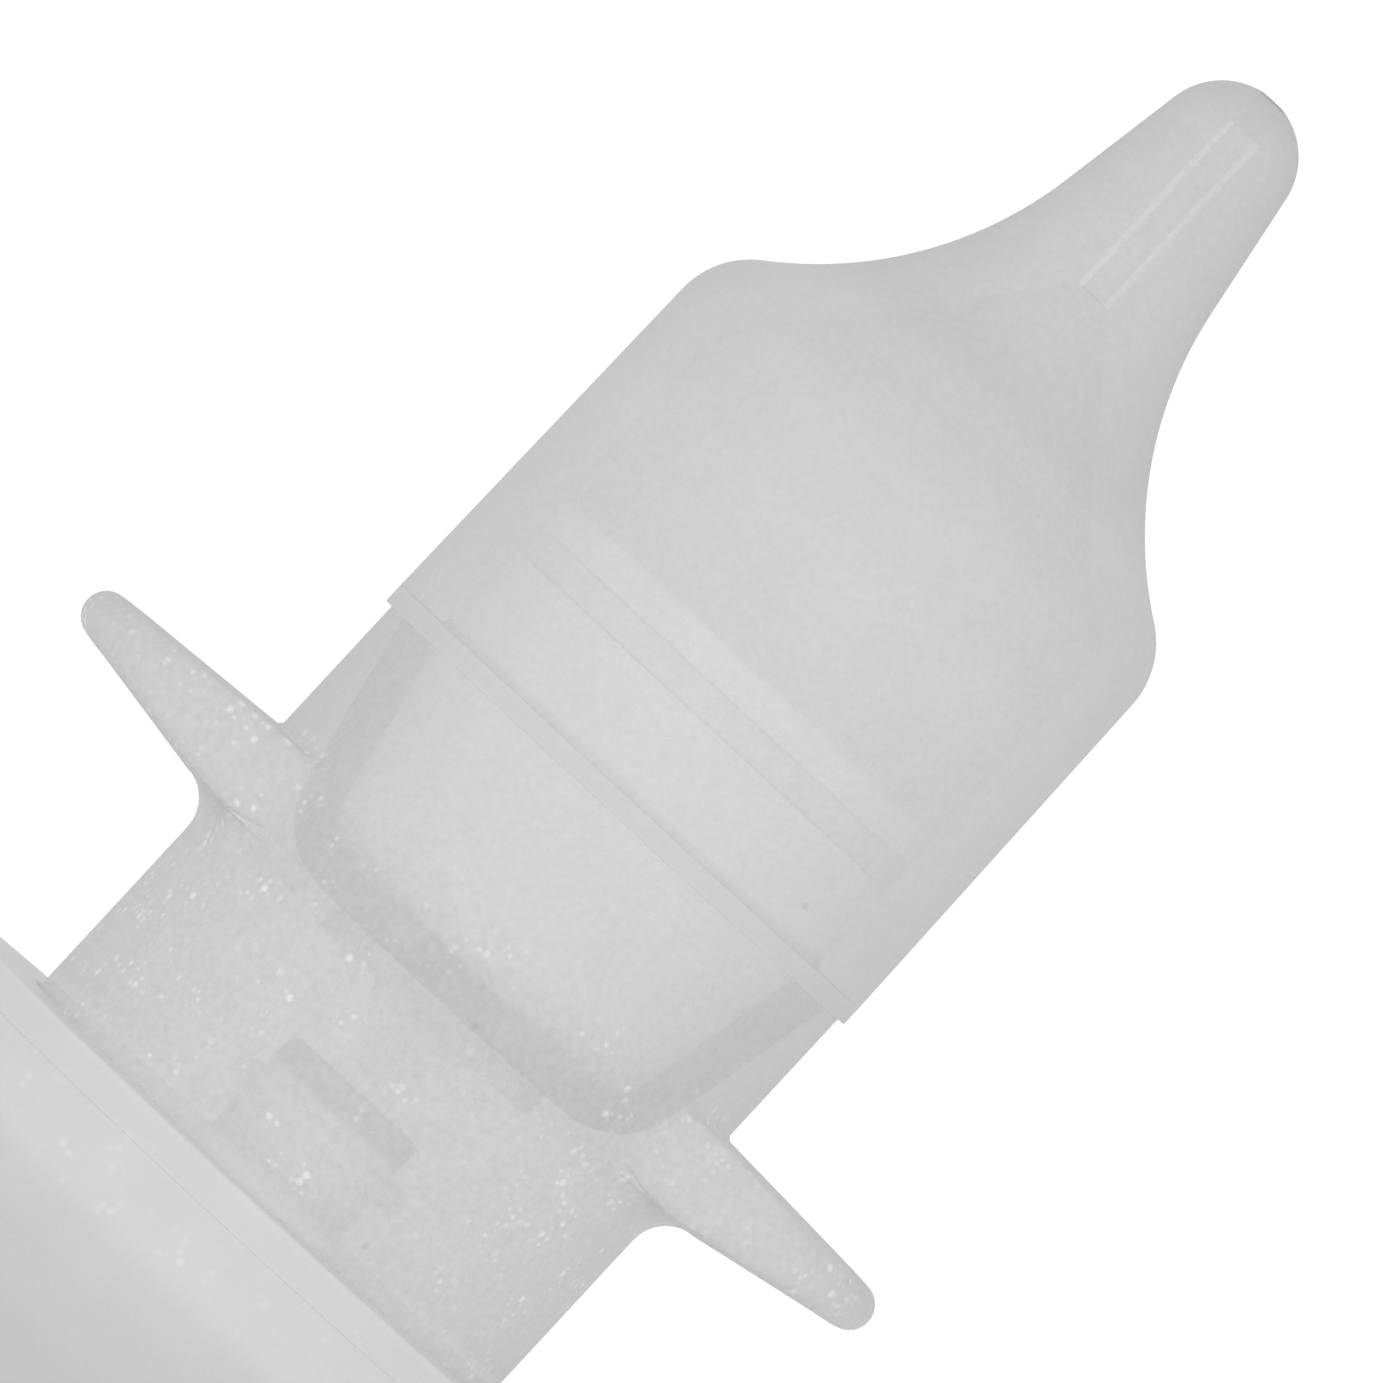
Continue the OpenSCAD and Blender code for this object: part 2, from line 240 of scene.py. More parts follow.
def grid_piece(name, sections, first_inner=None):
    """A closed surface through sections round the axis, one per angle, each a list of (r, z).
    Faces from the outline's point first_inner on get the second material slot."""
    count = len(sections[0])
    turns = len(sections)
    points = []
    for i, section in enumerate(sections):
        c, s = turned(360 * i / turns)
        points += [(r * c * MM, r * s * MM, z * MM) for r, z in section]
    faces = []
    inner = []
    for i in range(turns):
        for j in range(count):
            here = i * count
            beside = ((i + 1) % turns) * count
            k = (j + 1) % count
            faces.append((here + j, beside + j, beside + k, here + k))
            inner.append(1 if first_inner is not None and j >= first_inner else 0)
    mesh = bpy.data.meshes.new(name)
    mesh.from_pydata(points, [], faces)
    mesh.polygons.foreach_set("material_index", inner)
    shell = bmesh.new()
    shell.from_mesh(mesh)
    bmesh.ops.recalc_face_normals(shell, faces=shell.faces)
    shell.to_mesh(mesh)
    shell.free()
    mesh.shade_smooth()
    mesh.set_sharp_from_angle(angle=math.radians(CRISP_ANGLE))
    piece = bpy.data.objects.new(name, mesh)
    bpy.context.scene.collection.objects.link(piece)
    normals = piece.modifiers.new("even_normals", "WEIGHTED_NORMAL")
    normals.keep_sharp = True
    return piece


def lathe(name, outline, first_inner=None, turns=MEDIUM_TURNS):
    """An outline turned about the axis."""
    return grid_piece(name, [outline] * turns, first_inner)


def o_ring(name, node):
    """A ring of round section that fills a CAD seal's box."""
    section_r = (high(node) - low(node)) / 2
    centre = (reach(node) - section_r, low(node) + section_r)
    return lathe(name, arc(centre, section_r, 0, 360, 28)[:-1])


def squeezed_ring(name, node, inner_r):
    """A ring pressed to a rounded oblong section, as a seal is in its groove."""
    return lathe(name, ring_section(inner_r, reach(node), low(node), high(node), CORNER_EDGE))


def stand_for(piece, node, slot, *materials):
    """The piece is shown in place of a CAD node and moves with its body."""
    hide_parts(node)
    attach(piece, frame["nodes"][node]["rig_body"])
    for material in materials:
        piece.data.materials.append(material)
    return piece


# ---------- outlines of the pieces ----------

def cap_curves():
    """Centres and radii of the cap's outer arcs: shoulder, hollow waist and round end."""
    shoulder = np.array([SKIRT_R - SKIRT_DRAFT - SHOULDER_R, CAP_FOOT + SKIRT_H])
    shoulder_end = shoulder + SHOULDER_R * turned(SHOULDER_TURN)
    narrowing = math.cos(math.radians(NOSE_HALF_ANGLE)) - math.cos(math.radians(SHOULDER_TURN))
    waist_r = (shoulder_end[0] - NOSE_BASE_R) / narrowing
    waist = shoulder_end + waist_r * turned(SHOULDER_TURN)
    sine = math.sin(math.radians(NOSE_HALF_ANGLE))
    slope = math.tan(math.radians(NOSE_HALF_ANGLE))
    cosine = math.cos(math.radians(NOSE_HALF_ANGLE))
    end_z = waist[1] - waist_r * sine + NOSE_H
    ball_r = (NOSE_BASE_R - NOSE_H * slope) / (cosine - (1 - sine) * slope)
    return shoulder, waist, waist_r, end_z, ball_r


def nose_cap():
    """The soft cap: a skirt, a rounded shoulder, a hollow waist and a nose with a fine lumen."""
    shoulder, waist, waist_r, end_z, ball_r = cap_curves()
    mouth_angle = math.degrees(math.acos((LUMEN_R + MOUTH_EDGE) / ball_r))
    hollow_shoulder_r = SPIGOT_SOCKET_R - shoulder[0]
    hollow_waist_r = waist_r + SHOULDER_R - hollow_shoulder_r
    throat = low("lumen_liner")
    liner_top = high("lumen_liner")
    liner_r = reach("lumen_liner")
    outside = [(SPIGOT_SOCKET_R, CAP_FOOT, CAP_MOUTH_EDGE), (SKIRT_R, CAP_FOOT, SEAM_EDGE)]
    outside += arc(shoulder, SHOULDER_R, 0, SHOULDER_TURN)
    outside += arc(waist, waist_r, 180 + SHOULDER_TURN, 180 + NOSE_HALF_ANGLE, 24)[1:]
    outside += arc((0, end_z - ball_r), ball_r, NOSE_HALF_ANGLE, mouth_angle, 20)
    mouth_z = end_z - ball_r + ball_r * math.sin(math.radians(mouth_angle))
    inside = [(LUMEN_R, mouth_z - MOUTH_EDGE), (LUMEN_R, liner_top)]
    inside += [(liner_r, liner_top), (liner_r, throat)]
    inside += arc(waist, hollow_waist_r, 180 + FUNNEL_ANGLE, 180 + SHOULDER_TURN)
    inside += arc(shoulder, hollow_shoulder_r, SHOULDER_TURN, 0)[1:]
    inside += [(SPIGOT_SOCKET_R, SPIGOT_TOP)]
    return lathe("nose_cap_skin", rounded(outside + inside), expanded(outside), LARGE_TURNS)


def lumen_liner():
    """A fine clear tube in the nose, with its outside and its bore in materials of their own."""
    foot = low("lumen_liner")
    top = high("lumen_liner") - LINER_SHORT
    outer_r = reach("lumen_liner") - LINER_SLIT
    bore_r = radii("lumen_liner", foot)[0]
    wall = [(outer_r, foot, MOUTH_EDGE), (outer_r, top, MOUTH_EDGE)]
    bore = [(bore_r, top, MOUTH_EDGE), (bore_r, foot, MOUTH_EDGE)]
    return lathe("liner_tube", rounded(wall + bore), expanded(wall), LINER_TURNS)


def spigot_collar():
    """A register in the cup, a flange at the step and a spigot with the seal's groove."""
    register = low("spigot_collar")
    ledge_r, register_r = radii("spigot_collar", register)
    groove = low("cap_seal") - GROOVE_SLIT
    groove_top = high("cap_seal") + GROOVE_SLIT
    outline = rounded([
        (ledge_r, register, HARD_EDGE), (register_r, register, HARD_EDGE * 2), (register_r, RIM),
        (SKIRT_R, RIM, SEAM_EDGE), (SKIRT_R, CAP_FOOT, SEAM_EDGE), (SPIGOT_R, CAP_FOOT),
        (SPIGOT_R, groove, HARD_EDGE), (SEAL_GROOVE_R, groove), (SEAL_GROOVE_R, groove_top),
        (SPIGOT_R, groove_top, HARD_EDGE), (SPIGOT_R, SPIGOT_TOP, SPIGOT_EDGE),
        (SPIGOT_BORE_R, SPIGOT_TOP, HARD_EDGE), (SPIGOT_BORE_R, CAP_FOOT), (ledge_r, CAP_FOOT, HARD_EDGE)
    ])
    return lathe("collar_spigot", outline)


def cup_corner():
    """Centre of the round corner between the cup's floor and its tapered side."""
    taper = math.radians(CUP_TAPER)
    rise = RIM - CUP_FLOOR - CUP_CORNER * (1 - math.sin(taper))
    return (CUP_RIM_R - rise * math.tan(taper) - CUP_CORNER * math.cos(taper), CUP_FLOOR + CUP_CORNER)


def strainer_cup():
    """A flared cup with a drain hole, its outside and its bowl in materials of their own."""
    inner_rim_r = CUP_RIM_R - CUP_WALL / math.cos(math.radians(CUP_TAPER))
    centre = cup_corner()
    outside = [(DRAIN_R, CUP_FLOOR + CUP_WALL, HARD_EDGE), (DRAIN_R, CUP_FLOOR, SEAM_EDGE)]
    outside += arc(centre, CUP_CORNER, -90, -CUP_TAPER)
    outside += [(CUP_RIM_R, RIM, SEAM_EDGE)]
    inside = [(inner_rim_r, RIM, HARD_EDGE)] + arc(centre, CUP_CORNER - CUP_WALL, -CUP_TAPER, -90)
    return lathe("cup_shell", rounded(outside + inside), expanded(outside))


def planform_reach(angle):
    """How far the soft body reaches at the wings' height: two round lobes joined by straight sides,
    blended into the barrel."""
    across = abs(math.sin(math.radians(angle)))
    along = abs(math.cos(math.radians(angle)))
    lobe_x = WING_REACH - WING_W / 2
    straight = WING_W / 2 / max(across, 0.01)
    if straight * along > lobe_x:
        wing = lobe_x * along + math.sqrt(max((WING_W / 2) ** 2 - (lobe_x * across) ** 2, 0))
    else:
        wing = straight
    near = max(WING_BLEND - abs(wing - BARREL_R), 0) / WING_BLEND
    return max(wing, BARREL_R) + near ** 2 * WING_BLEND / 4


def wing_underside(r):
    """Height of the wings' underside: flat to the fillet's end, then rising to the tip."""
    root_r = BARREL_R + WING_FILLET
    share = max(r - root_r, 0) / (WING_TIP_R - root_r)
    return WING_UNDER + share * (WING_OVER - WING_DROP - WING_TIP_T - WING_UNDER)


def wing_upper_side(r):
    """Height of the wings' upper side, which falls evenly to the tip."""
    return WING_OVER - WING_DROP * (r - BARREL_R) / (WING_TIP_R - BARREL_R)


def wing_outline(angle):
    """The wing's section at one angle, from the neck below it up to the barrel above it."""
    edge_r = planform_reach(angle)
    depth = edge_r - BARREL_R
    thinning = WING_THINNING * max(0, 1 - depth / WING_THINNING_DEPTH) ** 2
    rim_r = min(WING_TIP_T / 2, depth / 2)
    fillet = min(WING_FILLET, depth - rim_r)

    # the fillet below the root
    points = []
    for a in np.linspace(0, 90, 9):
        points.append((BARREL_R + fillet * (1 - math.cos(math.radians(a))),
                       WING_UNDER - WING_FILLET * (1 - math.sin(math.radians(a)))))

    # the underside, out to the rim
    rim_c = edge_r - rim_r
    for t in np.linspace(0, 1, 8)[1:]:
        r = BARREL_R + fillet + t * (rim_c - BARREL_R - fillet)
        points.append((r, wing_underside(r) + thinning * t))

    # the round rim
    bottom = points[-1][1]
    top = wing_upper_side(rim_c) - thinning
    for a in np.linspace(-90, 90, 15)[1:-1]:
        c, s = turned(a)
        points.append((rim_c + rim_r * c, (bottom + top) / 2 + (top - bottom) / 2 * s))

    # the upper side, back to the barrel
    for t in np.linspace(0, 1, 9):
        r = rim_c + t * (BARREL_R + min(CORNER_EDGE, depth / 4) - rim_c)
        points.append((r, wing_upper_side(r) - thinning * (1 - t)))
    points.append((BARREL_R, WING_OVER + CORNER_EDGE))
    return points


def tip_body():
    """The soft body: a foot in the hub, a neck, two finger wings and a barrel round the cup."""
    foot_top = BODY_FOOT + FOOT_T
    seat = CUP_FLOOR - SEAT_T
    seat_r = reach("duckbill_valve") + SEAT_PLAY
    pocket = low("duckbill_valve") - POCKET_PLAY
    seal_z = (low("tube_seal") + high("tube_seal")) / 2
    groove_r = reach("tube_seal")
    groove_w = high("tube_seal") - low("tube_seal") + 2 * SEAL_PLAY
    foot = [(NECK_BORE_R, BODY_FOOT, CORNER_EDGE), (BODY_FOOT_R, BODY_FOOT, SOFT_EDGE),
            (BODY_FOOT_R, foot_top, SOFT_EDGE), (BARREL_R, foot_top, SOFT_EDGE)]
    rim = [(BARREL_R, RIM, SEAM_EDGE)]
    inside = [(CUP_RIM_R, RIM)] + arc(cup_corner(), CUP_CORNER, -CUP_TAPER, -90)
    inside += [(seat_r, CUP_FLOOR), (seat_r, seat), (POCKET_R, seat), (POCKET_R, pocket)]
    inside += [(NECK_BORE_R, pocket)]
    inside += [(NECK_BORE_R, seal_z + groove_w / 2), (groove_r, seal_z + groove_w / 2)]
    inside += [(groove_r, seal_z - groove_w / 2), (NECK_BORE_R, seal_z - groove_w / 2)]
    angles = [360 * i / BODY_TURNS for i in range(BODY_TURNS)]
    sections = [rounded(foot + wing_outline(angle) + rim + inside) for angle in angles]
    first_inner = expanded(foot + wing_outline(0) + rim)
    return grid_piece("body_skin", sections, first_inner)


def outlet_tube():
    """A tube from the hub's web up into the neck, with a collar on the web."""
    foot_r = radii("outlet_tube", CHAMBER_FLOOR)[-1]
    outline = rounded([
        (TUBE_BORE_R, SOCKET_FLOOR, CORNER_EDGE), (TUBE_R, SOCKET_FLOOR), (TUBE_R, CHAMBER_FLOOR),
        (foot_r, CHAMBER_FLOOR), (foot_r, CHAMBER_FLOOR + TUBE_FOOT_T, HARD_EDGE),
        (TUBE_R, CHAMBER_FLOOR + TUBE_FOOT_T), (TUBE_R, high("outlet_tube"), LIP_EDGE),
        (TUBE_BORE_R, high("outlet_tube"), CORNER_EDGE)
    ])
    return lathe("outlet_pipe", outline, turns=TUBE_TURNS)


def front_ring():
    """The ring that closes the hub over the body's foot."""
    skirt = low("front_ring")
    corners = [(RING_HOLE_R, skirt, HARD_EDGE), (RING_SKIRT_R, skirt, HARD_EDGE),
               (RING_SKIRT_R, SEAM), (HUB_R, SEAM, SEAM_EDGE)]
    corners += arc((HUB_R - FACE_EDGE, HUB_FACE - FACE_EDGE), FACE_EDGE, 0, 90)
    corners += [(RING_HOLE_R, HUB_FACE, LIP_EDGE)]
    return lathe("face_ring", rounded(corners), turns=LARGE_TURNS)


def thrust_washer():
    """The washer that the body's foot turns on."""
    inner_r, outer_r = radii("thrust_washer", CHAMBER_FLOOR)
    section = ring_section(inner_r, outer_r, CHAMBER_FLOOR, high("thrust_washer"), CORNER_EDGE)
    return lathe("washer", section)


def hub():
    """The hub: grip grooves outside, the foot's chamber above and the hose socket below."""
    corners = arc((HUB_R - HUB_EDGE, HUB_EDGE), HUB_EDGE, -90, 0, 8)
    grip_floor_r = HUB_R - GRIP_DEPTH
    for i in range(GRIP_COUNT):
        z0 = GRIP_Z + i * GRIP_PITCH
        z1 = z0 + GRIP_W
        corners += [(HUB_R, z0, SOFT_EDGE), (grip_floor_r, z0, CORNER_EDGE)]
        corners += [(grip_floor_r, z1, CORNER_EDGE), (HUB_R, z1, SOFT_EDGE)]
    corners += [(HUB_R, SEAM, SEAM_EDGE), (CHAMBER_R, SEAM), (CHAMBER_R, CHAMBER_FLOOR)]
    corners += [(TUBE_R, CHAMBER_FLOOR), (TUBE_R, SOCKET_FLOOR), (SOCKET_R, SOCKET_FLOOR)]
    for node in ("socket_seal_upper", "socket_seal_lower"):
        z0 = low(node) - GROOVE_PLAY
        z1 = high(node) + GROOVE_PLAY
        corners += [(SOCKET_R, z1, SEAM_EDGE), (reach(node), z1)]
        corners += [(reach(node), z0), (SOCKET_R, z0, SEAM_EDGE)]
    corners += [(SOCKET_R, SOCKET_LEAD, SEAM_EDGE), (SOCKET_R + SOCKET_LEAD, 0, SEAM_EDGE)]
    return lathe("hub_shell", rounded(corners), turns=LARGE_TURNS)


# ---------- materials ----------

# Share of what lies behind that each see-through surface hides
OUTER_SKIN = 0.7
INNER_SKIN = 0.12
LINER_WALL = 0.4
CUP_WALL_SHARE = 0.3
CUP_BOWL_SHARE = 0.9
VALVE_SHARE = 0.35
TUBE_SEAL_SHARE = 0.3

# Painted glow: the liner's wall gives off light of its own, though it is no lamp, so that it shows a
# little brighter
LINER_PAINTED_GLOW = 0.25

# Bending of light
SILICONE_IOR = 1.41
RUBBER_IOR = 1.42
PLASTIC_IOR = 1.49

# Depth of the surface's relief
SILICONE_RELIEF = 0.02
PLASTIC_RELIEF = 0.012

PLASTIC_TINT = (1, 1, 0.996)
NO_FLECKS = {0: 0.0, 50: 0.0}


class Finish:
    """One procedural material, built round a Principled shader. Textures run in millimetres."""

    def __init__(self, name):
        self.material = bpy.data.materials.new(name)
        self.material.use_nodes = True
        self.nodes = self.material.node_tree.nodes
        self.links = self.material.node_tree.links
        self.shader = self.nodes["Principled BSDF"]
        place = self.nodes.new("ShaderNodeTexCoord").outputs["Object"]
        scale = self.nodes.new("ShaderNodeVectorMath")
        scale.operation = "SCALE"
        scale.inputs["Scale"].default_value = 1 / MM
        self.links.new(place, scale.inputs[0])
        self.place = scale.outputs[0]
        split = self.nodes.new("ShaderNodeSeparateXYZ")
        self.links.new(self.place, split.inputs[0])
        self.height = split.outputs["Z"]
        self.aside = self.math("ABSOLUTE", split.outputs["X"])

    def math(self, operation, *values, clamp=False):
        """One math node. Values are numbers or other nodes' outputs."""
        node = self.nodes.new("ShaderNodeMath")
        node.operation = operation
        node.use_clamp = clamp
        for socket, value in zip(node.inputs, values):
            if isinstance(value, (int, float)):
                socket.default_value = value
            else:
                self.links.new(value, socket)
        return node.outputs[0]

    def noise(self, size, detail=2.0, shift=0.0):
        """Soft noise about 0, between -0.5 and 0.5, with lumps of the given size."""
        node = self.nodes.new("ShaderNodeTexNoise")
        node.noise_dimensions = "4D"
        node.inputs["W"].default_value = shift
        node.inputs["Scale"].default_value = 1 / size
        node.inputs["Detail"].default_value = detail
        self.links.new(self.place, node.inputs["Vector"])
        return self.math("SUBTRACT", node.outputs["Fac"], 0.5)

    def specks(self, cell, radius, share, shift=0.0):
        """Round specks, 1 at their middle and 0 outside, in a share of the cells of a random pattern."""
        moved = self.nodes.new("ShaderNodeVectorMath")
        moved.operation = "ADD"
        moved.inputs[1].default_value = (shift, shift * 1.7, shift * 2.3)
        self.links.new(self.place, moved.inputs[0])
        node = self.nodes.new("ShaderNodeTexVoronoi")
        node.inputs["Scale"].default_value = 1 / cell
        self.links.new(moved.outputs[0], node.inputs["Vector"])
        away = self.math("DIVIDE", node.outputs["Distance"], radius / cell)
        dot = self.math("SUBTRACT", 1.0, away, clamp=True)
        pick = self.nodes.new("ShaderNodeSeparateColor")
        self.links.new(node.outputs["Color"], pick.inputs[0])
        chosen = self.math("LESS_THAN", pick.outputs[0], share)
        return self.math("MULTIPLY", self.math("SMOOTH_MIN", dot, 0.6, 0.2), chosen)

    def along(self, stops):
        """A value that changes along the axis: stops are {height: value}."""
        heights = sorted(stops)
        span = self.nodes.new("ShaderNodeMapRange")
        span.inputs["From Min"].default_value = heights[0]
        span.inputs["From Max"].default_value = heights[-1]
        self.links.new(self.height, span.inputs["Value"])
        ramp = self.nodes.new("ShaderNodeValToRGB")
        ramp.color_ramp.interpolation = "EASE"
        self.links.new(span.outputs[0], ramp.inputs[0])
        while len(ramp.color_ramp.elements) < len(heights):
            ramp.color_ramp.elements.new(0.5)
        for element, h in zip(ramp.color_ramp.elements, heights):
            element.position = (h - heights[0]) / (heights[-1] - heights[0])
            element.color = (stops[h], stops[h], stops[h], 1)
        return ramp.outputs["Color"]

    def level(self, value):
        """The same value everywhere."""
        node = self.nodes.new("ShaderNodeValue")
        node.outputs[0].default_value = value
        return node.outputs[0]

    def line(self, value, slope, start):
        """slope times the value, plus start, kept between 0 and 1."""
        return self.math("MULTIPLY_ADD", value, slope, start, clamp=True)

    def add(self, *values):
        """Sum of two or more values."""
        total = values[0]
        for value in values[1:]:
            total = self.math("ADD", total, value)
        return total

    def times(self, value, factor):
        """Product of two values."""
        return self.math("MULTIPLY", value, factor)

    def colour(self, tone, tint=(1, 1, 1)):
        """Grey of the given tone, tinted."""
        mix = self.nodes.new("ShaderNodeMix")
        mix.data_type = "RGBA"
        mix.blend_type = "MULTIPLY"
        mix.inputs["Factor"].default_value = 1
        self.links.new(tone, mix.inputs[6])
        mix.inputs[7].default_value = (*tint, 1)
        self.links.new(mix.outputs[2], self.shader.inputs["Base Color"])

    def rough(self, value):
        """Roughness, kept between 0 and 1."""
        self.links.new(self.math("ADD", value, 0.0, clamp=True), self.shader.inputs["Roughness"])

    def bump(self, height, depth):
        """Relief of the given depth in millimetres."""
        node = self.nodes.new("ShaderNodeBump")
        node.inputs["Distance"].default_value = depth * MM
        self.links.new(height, node.inputs["Height"])
        self.links.new(node.outputs[0], self.shader.inputs["Normal"])

    def plain(self, **values):
        """Sets sockets of the shader by name, with _ for a space, and gives the finished material."""
        for name, value in values.items():
            self.shader.inputs[name.replace("_", " ")].default_value = value
        return self.material


def silicone(name, alpha, tones, specks_at):
    """Frosted translucent silicone: cloudy, finely mottled, with pale specks where specks_at says,
    in patches that grow towards the wings, and a few lone dark points."""
    f = Finish(name)
    amount = f.along(specks_at)
    wingward = f.line(f.aside, slope=0.4, start=-0.9)
    grain = f.noise(size=0.05, detail=1, shift=7.0)
    spread = f.math("MULTIPLY_ADD", wingward, 0.85, -0.6)
    patches = f.line(f.noise(size=0.9, detail=1, shift=11.0), slope=9.0, start=spread)
    coarse = f.specks(cell=0.34, radius=0.12, share=0.5)
    fine = f.times(f.specks(cell=0.2, radius=0.08, share=0.5, shift=5.0), 0.7)
    broken = f.line(grain, slope=2.0, start=0.8)
    pale = f.times(f.times(f.times(f.math("MAXIMUM", coarse, fine), patches), amount), broken)
    dark_points = f.specks(cell=1.6, radius=0.12, share=0.3, shift=9.0)
    mottle = f.times(f.noise(size=0.16, detail=3, shift=3.0), f.add(f.times(amount, 0.1), f.level(0.1)))
    cloud = f.times(f.noise(size=1.6, detail=3), 0.045)
    f.colour(f.add(f.along(tones), cloud, mottle, f.times(grain, 0.03),
                   f.times(pale, 0.46), f.times(dark_points, -0.16)))
    f.rough(f.add(f.times(grain, 0.25), f.times(pale, -0.2), f.times(mottle, 1.2), f.level(0.5)))
    f.bump(f.add(f.times(grain, 0.5), f.noise(size=0.35, detail=2, shift=2.0)), SILICONE_RELIEF)
    return f.plain(Alpha=alpha, IOR=SILICONE_IOR)


def moulded(name, tones, alpha=1.0, roughness=0.42, flecks_at=NO_FLECKS, glow=0.0):
    """Natural moulded plastic: faint flow clouds, fine satin grain, pale flecks where flecks_at says,
    and a painted glow, light that the piece gives off of its own though it is no lamp, as strong as glow
    says."""
    f = Finish(name)
    cloud = f.times(f.noise(size=2.2, detail=3), 0.05)
    grain = f.noise(size=0.09, detail=2, shift=4.0)
    patches = f.line(f.noise(size=1.1, detail=1, shift=3.0), slope=5.0, start=0.3)
    flecks = f.specks(cell=0.3, radius=0.12, share=0.5)
    pale = f.times(f.times(flecks, patches), f.along(flecks_at))
    f.colour(f.add(f.along(tones), cloud, f.times(grain, 0.04), pale), PLASTIC_TINT)
    f.rough(f.add(f.times(grain, 0.3), f.level(roughness)))
    f.bump(f.add(grain, f.times(f.noise(size=0.8, detail=1, shift=6.0), 1.5)), PLASTIC_RELIEF)
    # glow is painted light: an emission on a piece that is no lamp
    return f.plain(Alpha=alpha, IOR=PLASTIC_IOR, Emission_Color=WHITE, Emission_Strength=glow)


def rubber(name, tone, alpha=1.0):
    """Matt seal rubber with a fine skin."""
    f = Finish(name)
    grain = f.noise(size=0.06)
    cloud = f.noise(size=0.7, shift=2.0)
    f.colour(f.add(f.level(tone), f.times(grain, tone * 0.3), f.times(cloud, tone * 0.25)))
    f.rough(f.add(f.times(grain, 0.3), f.level(0.6)))
    f.bump(grain, PLASTIC_RELIEF)
    return f.plain(Alpha=alpha, IOR=RUBBER_IOR)


# ---------- the object ----------

# Tones, specks and flecks are given as {height: value} along the axis.

def let_light_in(*pieces):
    """See-through pieces don't shade what is inside them."""
    for piece in pieces:
        piece.visible_shadow = False
        piece.visible_diffuse = False


def dressed(node, material):
    """A CAD node shown as it is, in a new material."""
    piece = frame["nodes"][node]
    piece.data.materials.clear()
    piece.data.materials.append(material)
    return piece


def soft_pieces():
    """The body and the cap, each a cloudy outer skin and a clearer inner one."""
    # Tones along the body: lighter at the neck's foot, painted light that offsets the shade from the
    # hub's face, then darker up the neck, the wings and the barrel.
    body_tones_with_painted_light = {10: 0.88, 14.05: 0.83, 14.7: 0.675, 17: 0.635, 18.6: 0.62, 19.5: 0.585,
                  21.2: 0.575, 21.8: 0.59, 25: 0.59}
    # Tones along the cap: painted shade, darker at the shoulder and along the waist and nose, and
    # darkest at the lumen's mouth, where shade falls into the hole.
    cap_tones_with_painted_shade = {25: 0.605, 32: 0.602, 33.5: 0.582, 35: 0.578, 36: 0.605,
                 37.5: 0.552, 45.7: 0.535, 45.76: 0.2}
    speckled = {13: 0.6, 15: 1.0, 21: 1.0, 22.5: 0.15, 46: 0.0}
    sparse = {25: 0.05, 46: 0.0}
    body = stand_for(tip_body(), "tip_body", "soft_silicone",
                     silicone("silicone_body", OUTER_SKIN, body_tones_with_painted_light, speckled),
                     silicone("silicone_body_inner", INNER_SKIN, body_tones_with_painted_light, sparse))
    cap = stand_for(nose_cap(), "nose_cap", "soft_silicone",
                    silicone("silicone_cap", OUTER_SKIN, cap_tones_with_painted_shade, sparse),
                    silicone("silicone_cap_inner", INNER_SKIN, cap_tones_with_painted_shade, sparse))
    let_light_in(body, cap)


def inner_pieces():
    """What shows through the soft skins."""
    collar_tones = {24: 0.8, 24.85: 0.8, 24.98: 0.62, 25.2: 0.61, 25.52: 0.62, 25.65: 0.79, 30: 0.82}
    collar_flecks = {25: 0.0, 26: 0.1, 27.5: 0.1, 28: 0.0}
    natural = moulded("natural_plastic", collar_tones, flecks_at=collar_flecks)
    # The liner is a lit and a shaded copy of one plastic: a light wall with a painted glow, and a darker
    # bore, painted shade inside the tube.
    stand_for(lumen_liner(), "lumen_liner", "clear_liner",
              moulded("clear_liner", {39: 1.0, 46: 1.0}, LINER_WALL, roughness=0.2, glow=LINER_PAINTED_GLOW),
              moulded("clear_liner_bore_painted_shade", {39: 0.35, 46: 0.35}, roughness=0.2))
    collar = stand_for(spigot_collar(), "spigot_collar", "natural_plastic", natural)
    bowl_flecks = {20: 0.0, 21: 0.12, 23: 0.12, 24: 0.0}
    # The cup is a shaded and a lit copy of one plastic: a dark, half-clear outside, painted shade for
    # the dark band along the cup's wall, and a light bowl, painted light inside the cup.
    cup = stand_for(strainer_cup(), "strainer_cup", "cup_plastic",
                    moulded("cup_outside_painted_shade", {19: 0.4, 23.5: 0.42, 25: 0.52}, CUP_WALL_SHARE),
                    moulded("cup_inside_painted_light", {19: 1.0, 26: 1.0}, CUP_BOWL_SHARE, flecks_at=bowl_flecks))
    # Tones along the tube: lighter below, painted light that offsets the shade from the hub under it,
    # and a darker band at its top.
    tube_tones_with_painted_light = {8: 0.82, 15: 0.8, 16.15: 0.74, 16.4: 0.5, 17: 0.5}
    stand_for(outlet_tube(), "outlet_tube", "natural_plastic", moulded("tube_plastic", tube_tones_with_painted_light))
    cap_seal = squeezed_ring("cap_seal_ring", "cap_seal", SEAL_GROOVE_R)
    stand_for(cap_seal, "cap_seal", "seal_silicone", rubber("seal_silicone", 0.74))
    tube_seal = stand_for(o_ring("tube_seal_ring", "tube_seal"), "tube_seal", "seal_silicone",
                          rubber("clear_seal_silicone", 0.8, TUBE_SEAL_SHARE))
    dressed("strainer_basket", natural)
    valve = dressed("duckbill_valve", rubber("valve_silicone", 0.6, VALVE_SHARE))
    let_light_in(cup, collar, tube_seal, valve)


